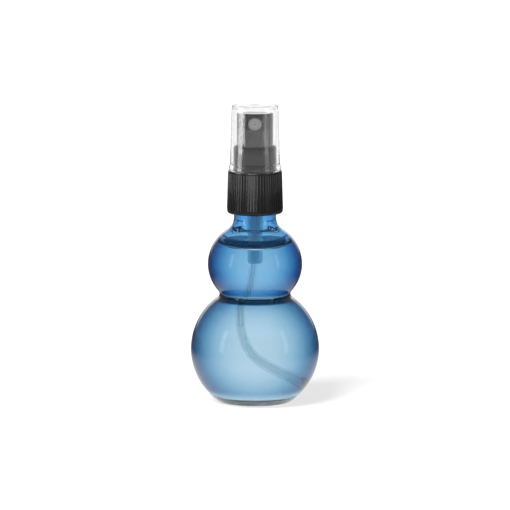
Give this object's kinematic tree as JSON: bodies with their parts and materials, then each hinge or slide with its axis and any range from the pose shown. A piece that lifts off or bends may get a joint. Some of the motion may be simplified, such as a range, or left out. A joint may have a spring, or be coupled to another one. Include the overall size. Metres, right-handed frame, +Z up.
{
  "type": "perfume atomiser",
  "caption": "Gourd-shaped blue glass perfume bottle with a ribbed screw-on mist pump, curved dip tube and clear push-on overcap.",
  "frame": {"origin": "centre of the bottle's base, on the surface it stands on", "axes": "+Z up along the bottle's axis; the spray nozzle faces -Y; +X is to the right of a person facing the nozzle"},
  "size_m": [0.0482, 0.0482, 0.1121],
  "materials": {
    "blue_glass": "clear, tinted blue, fire-polished",
    "black_plastic": "moulded black, satin",
    "black_gloss_plastic": "moulded black, semi-gloss",
    "clear_plastic": "clear, polished",
    "grey_plastic": "moulded grey, satin",
    "white_plastic": "natural white, satin",
    "soft_white_plastic": "soft natural white",
    "translucent_plastic": "milky, translucent",
    "tube_plastic": "extruded, translucent",
    "gasket_foam": "closed-cell foam, matte",
    "spring_steel": "drawn stainless wire",
    "ball_steel": "polished"
  },
  "bodies": {
    "bottle": {"bottle": "blue_glass"},
    "pump": {"pump_housing": "translucent_plastic", "turret": "white_plastic", "gasket": "gasket_foam", "spring_seat": "white_plastic", "return_spring": "spring_steel", "dip_tube": "tube_plastic"},
    "collar": {"closure": "black_plastic"},
    "cap": {"overcap": "clear_plastic"},
    "plunger": {"stem": "white_plastic", "poppet": "white_plastic"},
    "seal": {"piston": "soft_white_plastic"},
    "head": {"actuator": "black_gloss_plastic", "nozzle_insert": "grey_plastic"},
    "ball": {"check_ball": "ball_steel"}
  },
  "joints": [
    {"name": "collar_turn", "type": "hinge", "parent": "pump", "child": "collar", "pos_m": [0, 0, 0.0795], "axis": [0, 0, 1], "range_deg": [0, 540]},
    {"name": "pump_lift", "type": "slide", "parent": "bottle", "child": "pump", "axis": [0, 0, 1], "range_m": [0, 0.00476]},
    {"name": "overcap_lift", "type": "slide", "parent": "collar", "child": "cap", "axis": [0, 0, 1], "range_m": [0, 0.03]},
    {"name": "spray_stroke", "type": "slide", "parent": "pump", "child": "plunger", "axis": [0, 0, -1], "range_m": [0, 0.0042], "stiffness_N_per_m": 600, "springref_m": -0.004, "deforming": ["return_spring"]},
    {"name": "head_turn", "type": "hinge", "parent": "plunger", "child": "head", "pos_m": [0, 0, 0.1], "axis": [0, 0, 1], "continuous": true},
    {"name": "piston_slip", "type": "slide", "parent": "plunger", "child": "seal", "axis": [0, 0, 1], "range_m": [0, 0.0007]},
    {"name": "ball_lift", "type": "slide", "parent": "pump", "child": "ball", "axis": [0, 0, 1], "range_m": [0, 0.0009]}
  ],
  "couplings": [
    {"joint": "collar_turn", "follows": "pump_lift", "rad_per_m": 1979}
  ]
}
